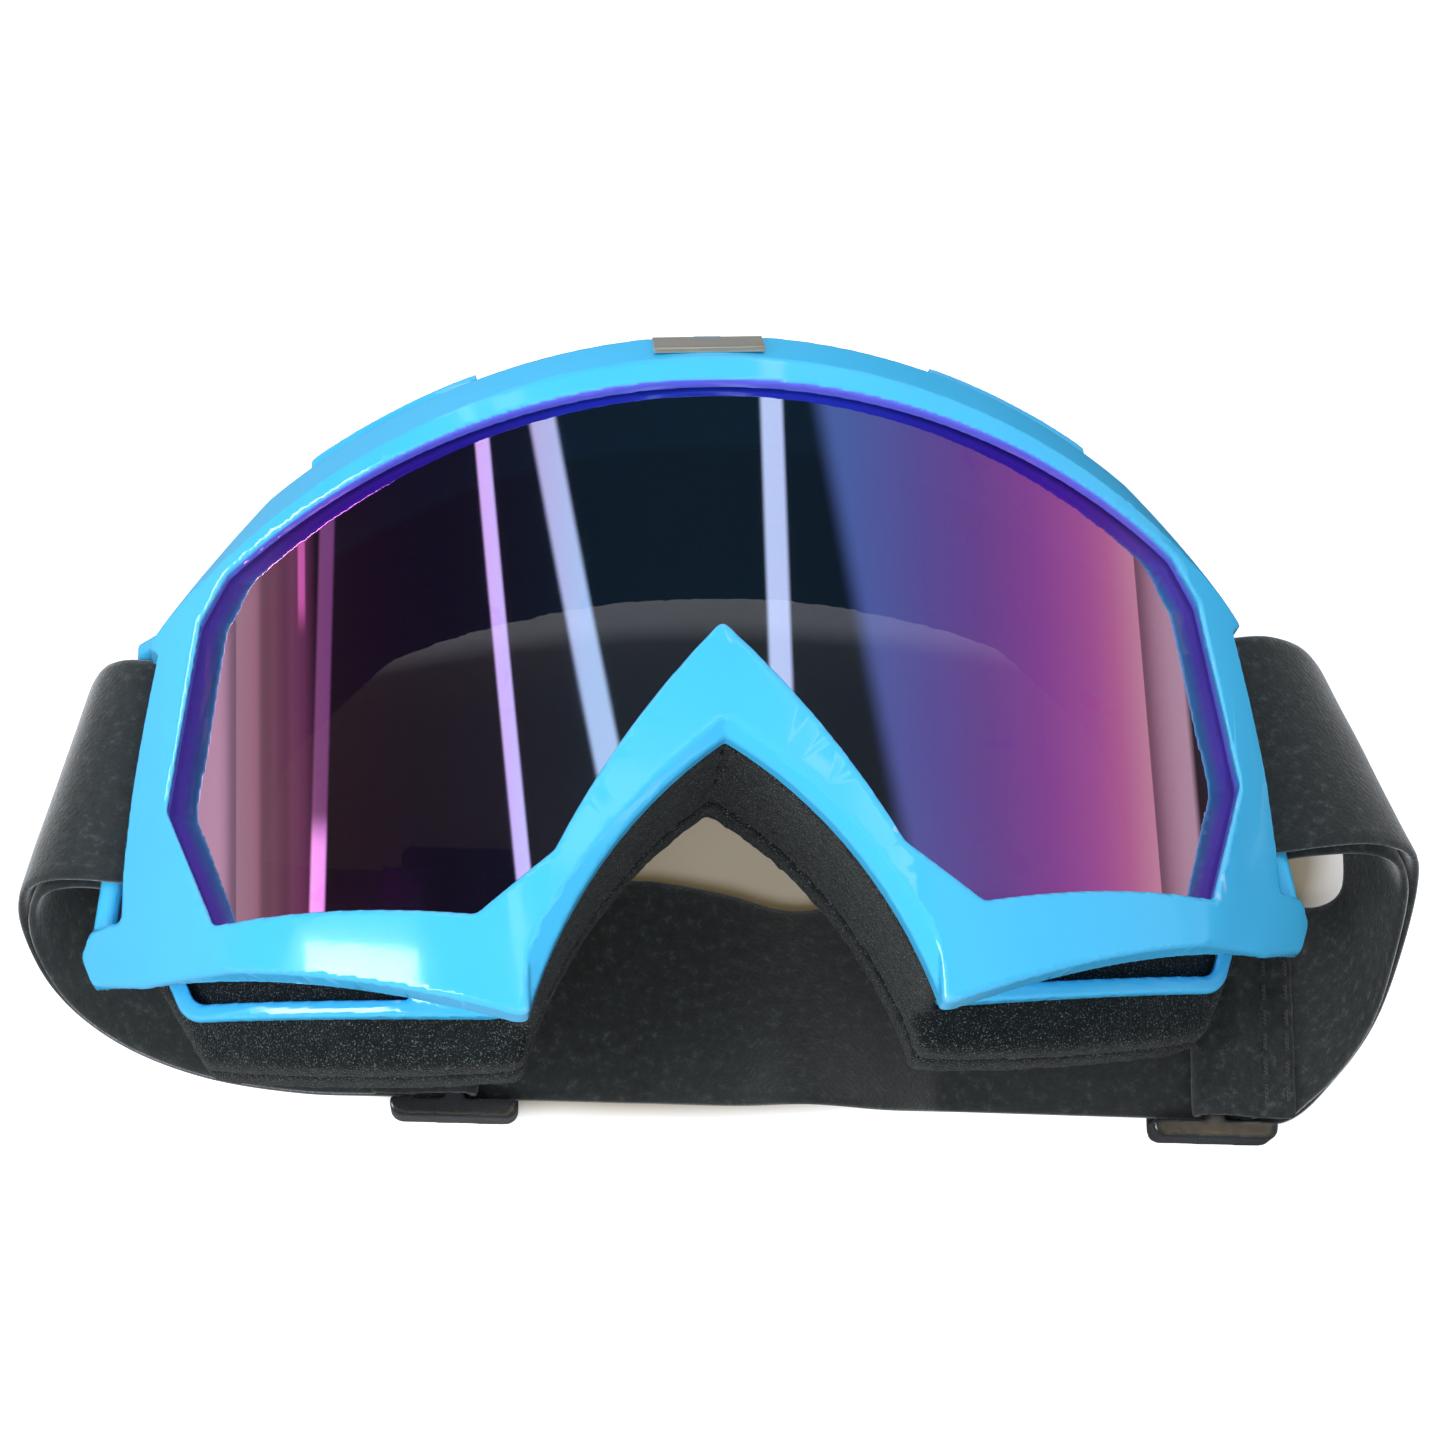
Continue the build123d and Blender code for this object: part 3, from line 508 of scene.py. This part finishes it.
for face in bm.faces:
    face.smooth = True
    face.material_index = 0 if face.normal.z > 0.3 else 1
for edge in bm.edges:
    edge.smooth = not edge.is_manifold or edge.calc_face_angle() < radians(30)
bm.to_mesh(lens_sheet.data)
bm.free()
bent_normals = []
for face in lens_sheet.data.polygons:
    for corner in face.vertices:
        spot = lens_sheet.data.vertices[corner].co
        radial = Vector((spot.x, 0, spot.z - bend_middle)).normalized()
        facing = face.normal.dot(radial)
        bent_normals.append(radial * facing if abs(facing) > 0.9 else face.normal)
lens_sheet.data.normals_split_custom_set(bent_normals)

mirror_coat, tree, shader = finish_nodes("lens_mirror_coating")
place = object_place(tree)
across = add_node(tree, "ShaderNodeSeparateXYZ", inputs={0: place}).outputs["X"]
cloud = grain(tree, place, 14.0, 2.0)
uneven = arithmetic(tree, "MULTIPLY_ADD", cloud, 0.05, -0.025)
outwards = arithmetic(tree, "DIVIDE", arithmetic(tree, "ABSOLUTE", across), lens_high[0])
coat_colour = shade_ramp(
    tree,
    arithmetic(tree, "ADD", outwards, uneven),
    [
        (0.0, (0.07, 0.19, 0.70)),
        (0.23, (0.07, 0.157, 0.68)),
        (0.365, (0.12, 0.07, 0.53)),
        (0.46, (0.18, 0.033, 0.45)),
        (0.57, (0.32, 0.018, 0.435)),
        (0.67, (0.49, 0.042, 0.42)),
        (0.72, (0.61, 0.088, 0.39)),
        (0.78, (0.74, 0.235, 0.435)),
        (0.84, (0.82, 0.39, 0.60)),
        (0.94, (0.80, 0.42, 0.64)),
    ],
)
tree.links.new(coat_colour, shader.inputs["Base Color"])
smudges = grain(tree, place, 90.0, 5.0, 0.7)
tree.links.new(between(tree, smudges, 0.012, 0.035), shader.inputs["Roughness"])
set_shader(shader, Metallic=1.0, Alpha=0.87, Coat_Weight=1.0, Coat_IOR=1.6, Coat_Roughness=0.02)
smoke_back, tree, shader = finish_nodes("lens_smoke_back")
place = object_place(tree)
tint = shade_ramp(
    tree, grain(tree, place, 40.0, 3.0), [(0.3, (0.012, 0.012, 0.014)), (0.7, (0.02, 0.019, 0.02))]
)
tree.links.new(tint, shader.inputs["Base Color"])
tree.links.new(between(tree, grain(tree, place, 120.0, 4.0), 0.04, 0.09), shader.inputs["Roughness"])
set_shader(shader, IOR=1.58, Alpha=0.45)
lens_sheet.data.materials.append(mirror_coat)
lens_sheet.data.materials.append(smoke_back)
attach(lens_sheet, "goggles")
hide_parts("lens")

# ------------------------------------------------------------- badge plate
# A thin satin plate glued into a shallow pocket on the forehead bevel. It is
# brushed along its length and has nothing on it.
badge = eased_copy("badge_plate", "badge_plate_satin", 0.0001, 4, 0.0003)
satin_metal, tree, shader = finish_nodes("satin_silver")
place = object_place(tree)
drawn_out = add_node(
    tree, "ShaderNodeMapping", inputs={"Vector": place, "Scale": (60.0, 4000.0, 4000.0)}
).outputs["Vector"]
brushing = grain(tree, drawn_out, 1.0, 3.0, 0.6)
plate_colour = shade_ramp(tree, brushing, [(0.3, (0.50, 0.48, 0.44)), (0.7, (0.66, 0.64, 0.60))])
tree.links.new(plate_colour, shader.inputs["Base Color"])
tree.links.new(between(tree, brushing, 0.30, 0.42), shader.inputs["Roughness"])
relief(tree, shader, brushing, 0.00001, 0.6)
set_shader(shader, Metallic=0.75)
badge.data.materials.append(satin_metal)
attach(badge, "goggles")
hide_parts("badge_plate")


# ------------------------------------------------------- foam and filters
# Open-cell polyurethane foam, cut from sheet: a firm layer glued to the face
# flange and round the nose, a softer one on it, and thin filters behind the
# vents. Cut cells leave it rough, and bright specks in its colour are painted
# glints where cell skins would catch light.
def foam_finish(name, dark, pale, painted_glint, cell):
    finish, tree, shader = finish_nodes(name)
    place = object_place(tree)
    pores = add_node(
        tree,
        "ShaderNodeTexVoronoi",
        {"feature": "F1"},
        {"Vector": place, "Scale": 1.0 / cell},
    ).outputs["Distance"]
    blotches = grain(tree, place, 220.0, 4.0, 0.6)
    body = shade_ramp(tree, blotches, [(0.3, dark), (0.7, pale)])
    # Bright specks mixed into the colour: painted glints where cell skins catch light.
    glint_spots = grain(tree, place, 1.5 / cell, 1.0)
    painted_glints = add_node(
        tree,
        "ShaderNodeMapRange",
        inputs={"Value": glint_spots, "From Min": 0.60, "From Max": 0.72, "To Max": 0.6},
    ).outputs["Result"]
    with_painted_glints = add_node(
        tree,
        "ShaderNodeMix",
        {"data_type": "RGBA"},
        {"Factor": painted_glints, 6: body, 7: (*painted_glint, 1)},
    ).outputs[2]
    tree.links.new(with_painted_glints, shader.inputs["Base Color"])
    relief(tree, shader, pores, cell * 0.6, 0.9)
    set_shader(shader, Roughness=0.9, Specular_IOR_Level=0.2, Sheen_Weight=0.05, Sheen_Roughness=0.5)
    return finish


def roughen(piece, amount, size):
    """Uneven cut surface of a foam or cloth piece."""
    mesh = piece.data
    normals = [vert.normal.copy() for vert in mesh.vertices]
    for vert, normal in zip(mesh.vertices, normals):
        vert.co += normal * amount * noise.noise(vert.co / size)


foam_body = foam_finish(
    "charcoal_foam", (0.005, 0.0068, 0.0068), (0.011, 0.014, 0.014), (0.22, 0.25, 0.25), 0.0004
)
filter_body = foam_finish(
    "filter_foam", (0.012, 0.012, 0.013), (0.024, 0.024, 0.025), (0.12, 0.12, 0.13), 0.0006
)
for node, fill in (("foam_base", 0.9), ("foam_face", 0.8)):
    pad = eased_copy(node, node + "_pad", 0.0009, 10, 0.0022)
    roughen(pad, 0.00025, 0.0011)
    pad.data.materials.append(foam_body)
    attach(pad, "goggles")
    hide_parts(node)
for node in nodes:
    if "vent_filter" in node:
        lining = eased_copy(node, node + "_foam", 0.0004, 4, 0.0008)
        roughen(lining, 0.00012, 0.0006)
        lining.data.materials.append(filter_body)
        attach(lining, "goggles")
        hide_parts(node)

# ------------------------------------------------------------------ fleece
# Brushed polyester fleece, 1 mm thick, laminated to the soft foam where it
# meets the face. It is cut to the outline of the foam, a little smaller.
fleece_layer = eased_copy("face_fleece", "face_fleece_layer", 0.0005, 3, 0.0008)
roughen(fleece_layer, 0.00012, 0.0009)
fleece, tree, shader = finish_nodes("black_fleece")
place = object_place(tree)
pile = grain(tree, place, 1600.0, 3.0, 0.7)
worn_pile = grain(tree, place, 130.0, 3.0)
shaded = shade_ramp(
    tree, worn_pile, [(0.3, (0.010, 0.010, 0.011)), (0.7, (0.026, 0.026, 0.028))]
)
tree.links.new(shaded, shader.inputs["Base Color"])
relief(tree, shader, pile, 0.0003, 0.8)
set_shader(shader, Roughness=0.95, Sheen_Weight=0.6, Sheen_Roughness=0.4)
fleece_layer.data.materials.append(fleece)
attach(fleece_layer, "goggles")
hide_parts("face_fleece")

# ------------------------------------------------------------------- strap
# Woven elastic webbing, 36 mm wide and 1.4 mm thick, in one length. Each end
# goes outwards and round a post of the frame, and comes back on itself. Both
# turns lie loose beside the frame, and the run lies flat underneath.
strap_thick = 0.0014
layer_pitch = 0.00165
post_z = 0.018
fold_radius = 0.0027
fold_steps = 6
post_upper = (0.0861, 0.0306)
post_lower = (0.0912, -0.0054)
turn_right = [
    ((73.1, -7.4, 2.45), (70.9, -43.7, 2.45)),
    ((85.1, -8.1, 2.45), (82.9, -44.4, 2.45)),
    ((94.0, -9.0, 2.45), (92.8, -45.0, 2.5)),
    ((100.6, -10.2, 2.5), (101.5, -38.0, 3.4)),
    ((105.0, -8.0, 3.4), (108.0, -30.0, 4.6)),
    ((106.5, 2.0, 5.2), (112.4, -20.0, 7.4)),
    ((105.0, 15.6, 8.6), (115.0, -10.0, 12.0)),
    ((102.6, 25.4, 13.6), (113.4, -6.0, 17.8)),
    ((98.6, 29.6, 17.6), (107.0, -4.6, 21.0)),
    ((92.6, 31.0, 20.2), (98.8, -4.9, 21.8)),
]
turn_left = [
    ((-48.9, 0.0, 2.45), (-51.1, -36.4, 2.45)),
    ((-61.0, 0.8, 2.45), (-63.2, -35.6, 2.45)),
    ((-72.5, 3.2, 2.5), (-78.5, -32.6, 2.6)),
    ((-82.0, 8.5, 2.7), (-91.0, -27.3, 3.0)),
    ((-88.5, 14.5, 3.2), (-99.3, -21.0, 4.3)),
    ((-93.0, 20.0, 5.2), (-104.0, -14.8, 7.5)),
    ((-94.9, 25.4, 9.5), (-106.0, -8.8, 12.2)),
    ((-94.5, 28.6, 14.2), (-104.8, -5.6, 16.8)),
    ((-92.2, 30.6, 18.2), (-100.8, -4.8, 20.1)),
    ((-89.2, 30.9, 20.2), (-95.8, -4.9, 20.8)),
]
run_middle = [
    ((41.1, -5.4, 2.45), (38.9, -41.7, 2.45)),
    ((39.1, -5.3, 2.45), (36.9, -41.6, 2.45)),
    ((28.0, -6.5, 2.45), (28.0, -42.3, 9.1)),
    ((15.0, -8.1, 2.45), (15.0, -42.1, 15.5)),
    ((5.0, -5.1, 2.45), (5.0, -40.9, 9.1)),
    ((-6.9, -2.5, 2.45), (-9.1, -38.9, 2.45)),
    ((-8.9, -2.4, 2.45), (-11.1, -38.8, 2.45)),
]


def in_metres(stations):
    """Stations in millimetres, each an upper and a lower edge, turned into metres."""
    return [tuple(Vector(edge) / 1000 for edge in pair) for pair in stations]


def folded_over(pairs, side):
    """Second layer of a turn, inside the first and open round the post."""
    inner = []
    for number, (upper, lower) in enumerate(pairs):
        before = pairs[max(number - 1, 0)]
        after = pairs[min(number + 1, len(pairs) - 1)]
        onwards = (after[0] + after[1] - before[0] - before[1]).normalized()
        inside = -side * (upper - lower).normalized().cross(onwards).normalized()
        share = min(max((number - len(pairs) + 6) / 6, 0), 1)
        gap = layer_pitch + (2 * fold_radius - layer_pitch) * share * share
        inner.append((upper + inside * gap, lower + inside * gap))
    return inner


def round_post(side):
    """Stations of the fold, from the layer above the post to the one below."""
    stations = []
    for step in range(fold_steps + 1):
        angle = pi * step / fold_steps
        spoke = Vector((-side * sin(angle), 0, cos(angle))) * fold_radius
        upper = Vector((side * post_upper[0], post_upper[1], post_z)) + spoke
        lower = Vector((side * post_lower[0], post_lower[1], post_z)) + spoke
        stations.append((upper, lower))
    return stations


def flowing(points, counts):
    """Smooth curve through the given points, with a count of steps for each gap."""
    ends = [2 * points[0] - points[1]] + points + [2 * points[-1] - points[-2]]
    curve = []
    for number in range(len(points) - 1):
        p0, p1, p2, p3 = ends[number : number + 4]
        t1 = (p1 - p0).length ** 0.5
        t2 = t1 + (p2 - p1).length ** 0.5
        t3 = t2 + (p3 - p2).length ** 0.5
        for part in range(counts[number]):
            t = t1 + (t2 - t1) * part / counts[number]
            a1 = p0.lerp(p1, t / t1)
            a2 = p1.lerp(p2, (t - t1) / (t2 - t1))
            a3 = p2.lerp(p3, (t - t2) / (t3 - t2))
            b1 = a1.lerp(a2, t / t2)
            b2 = a2.lerp(a3, (t - t1) / (t3 - t1))
            curve.append(b1.lerp(b2, (t - t1) / (t2 - t1)))
    return curve + [points[-1]]


outer_right = in_metres(turn_right)
outer_left = in_metres(turn_left)
inner_right = folded_over(outer_right, 1)[2:]
inner_left = folded_over(outer_left, -1)
strap_route = (
    inner_right
    + round_post(1)[::-1]
    + outer_right[::-1]
    + in_metres(run_middle)
    + outer_left
    + round_post(-1)
    + inner_left[::-1]
)
station_step = 0.0014
step_counts = [
    int(((pair[0] + pair[1] - after[0] - after[1]) / 2).length / station_step) + 1
    for pair, after in zip(strap_route, strap_route[1:])
]
upper_edge = flowing([pair[0] for pair in strap_route], step_counts)
lower_edge = flowing([pair[1] for pair in strap_route], step_counts)
length_marks = [0.0]
for number in range(1, len(upper_edge)):
    middle = (upper_edge[number] + lower_edge[number]) / 2
    last_middle = (upper_edge[number - 1] + lower_edge[number - 1]) / 2
    length_marks.append(length_marks[-1] + (middle - last_middle).length)
strap_width = 0.0364
threads_across = 14
strap_mesh = bpy.data.meshes.new("strap_webbing")
bm = bmesh.new()
weave_map = bm.loops.layers.uv.new("weave")
bmesh.ops.create_grid(
    bm, x_segments=len(upper_edge) - 1, y_segments=threads_across, size=0.5, calc_uvs=True
)
for vert in bm.verts:
    station = round((vert.co.x + 0.5) * (len(upper_edge) - 1))
    share = vert.co.y + 0.5
    for loop in vert.link_loops:
        loop[weave_map].uv = (length_marks[station], share * strap_width)
    vert.co = lower_edge[station].lerp(upper_edge[station], share)
bm.normal_update()
for vert in bm.verts:
    slack = noise.noise(vert.co * 55) * 0.5 + noise.noise(vert.co * 140) * 0.25
    lying = min(max((abs(vert.co.x) - 0.093) / 0.01, 0), 1)
    vert.co += vert.normal * slack * 0.0007 * lying
bm.to_mesh(strap_mesh)
bm.free()
for face in strap_mesh.polygons:
    face.use_smooth = True
strap_webbing = bpy.data.objects.new("strap_webbing", strap_mesh)
scene.collection.objects.link(strap_webbing)
thickness = strap_webbing.modifiers.new("thickness", "SOLIDIFY")
thickness.thickness = strap_thick
thickness.offset = 0
soft_edges = strap_webbing.modifiers.new("soft_edges", "SUBSURF")
soft_edges.levels = 1
soft_edges.render_levels = 1


def webbing_finish(name, vector, sheen):
    """Black elastic with faint ribs along it, cross threads and grey hairs."""
    finish, tree, shader = finish_nodes(name)
    place = add_node(tree, "ShaderNodeTexCoord").outputs[vector]
    parts = add_node(tree, "ShaderNodeSeparateXYZ", inputs={0: place}).outputs
    along = arithmetic(tree, "SINE", arithmetic(tree, "MULTIPLY", parts["X"], 2 * pi / 0.0011))
    across = arithmetic(tree, "SINE", arithmetic(tree, "MULTIPLY", parts["Y"], 2 * pi / 0.0013))
    knit = arithmetic(tree, "MULTIPLY", along, across)
    hairs = grain(tree, place, 1500.0, 3.0, 0.75)
    surface = arithmetic(tree, "MULTIPLY_ADD", knit, 0.05, hairs)
    heather = grain(tree, place, 520.0, 4.0, 0.8)
    yarn = shade_ramp(
        tree,
        heather,
        [
            (0.32, (0.010, 0.012, 0.012)),
            (0.55, (0.018, 0.022, 0.023)),
            (0.68, (0.050, 0.056, 0.058)),
        ],
    )
    tree.links.new(yarn, shader.inputs["Base Color"])
    relief(tree, shader, surface, 0.00025, 0.7)
    set_shader(shader, Roughness=0.92, Sheen_Weight=sheen, Sheen_Roughness=0.45)
    return finish


strap_webbing.data.materials.append(webbing_finish("heathered_webbing", "UV", 0.8))
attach(strap_webbing, "goggles")
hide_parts("strap")

# -------------------------------------------------------- hems and stitches
# Each end of the webbing turns round the middle bar of its slider and is sewn
# down on itself with two rows of black thread.
hem_webbing = webbing_finish("hem_webbing", "Object", 0.2)
sewing_thread, tree, shader = finish_nodes("sewing_thread")
place = object_place(tree)
twist = add_node(
    tree,
    "ShaderNodeTexWave",
    {"bands_direction": "DIAGONAL"},
    {"Vector": place, "Scale": 900.0, "Distortion": 1.0},
).outputs["Fac"]
tree.links.new(
    shade_ramp(tree, twist, [(0.2, (0.008, 0.008, 0.009)), (0.8, (0.03, 0.03, 0.032))]),
    shader.inputs["Base Color"],
)
relief(tree, shader, twist, 0.0001, 0.6)
set_shader(shader, Roughness=0.6, Sheen_Weight=0.3)
for side_name in ("left", "right"):
    body = "slider_body_" + side_name
    hem = eased_copy("strap_hem_" + side_name, "hem_webbing_" + side_name, 0.0004, 5, 0.0007)
    roughen(hem, 0.0001, 0.0012)
    hem.data.materials.append(hem_webbing)
    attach(hem, body)
    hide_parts("strap_hem_" + side_name)
    stitches = eased_copy(
        "hem_stitches_" + side_name, "hem_thread_" + side_name, 0.0001, 4, 0.0004
    )
    stitches.data.materials.append(sewing_thread)
    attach(stitches, body)
    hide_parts("hem_stitches_" + side_name)

# ----------------------------------------------------------------- sliders
# Three-bar sliders moulded in dark glossy nylon. The webbing runs over the two
# end bars and under the middle one, so the end bars are what the goggles lie on.
dark_nylon, tree, shader = finish_nodes("dark_nylon")
place = object_place(tree)
filled = grain(tree, place, 70.0, 3.0)
nylon_colour = shade_ramp(tree, filled, [(0.3, (0.016, 0.018, 0.021)), (0.7, (0.03, 0.033, 0.037))])
tree.links.new(nylon_colour, shader.inputs["Base Color"])
rubbed = grain(tree, place, 380.0, 5.0, 0.7)
tree.links.new(between(tree, rubbed, 0.16, 0.34), shader.inputs["Roughness"])
relief(tree, shader, rubbed, 0.00003, 0.5)
set_shader(shader, IOR=1.53)
for side_name in ("left", "right"):
    slider = eased_copy("slider_" + side_name, "slider_moulding_" + side_name, 0.0004, 4, 0.0007)
    slider.data.materials.append(dark_nylon)
    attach(slider, "slider_body_" + side_name)
    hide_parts("slider_" + side_name)
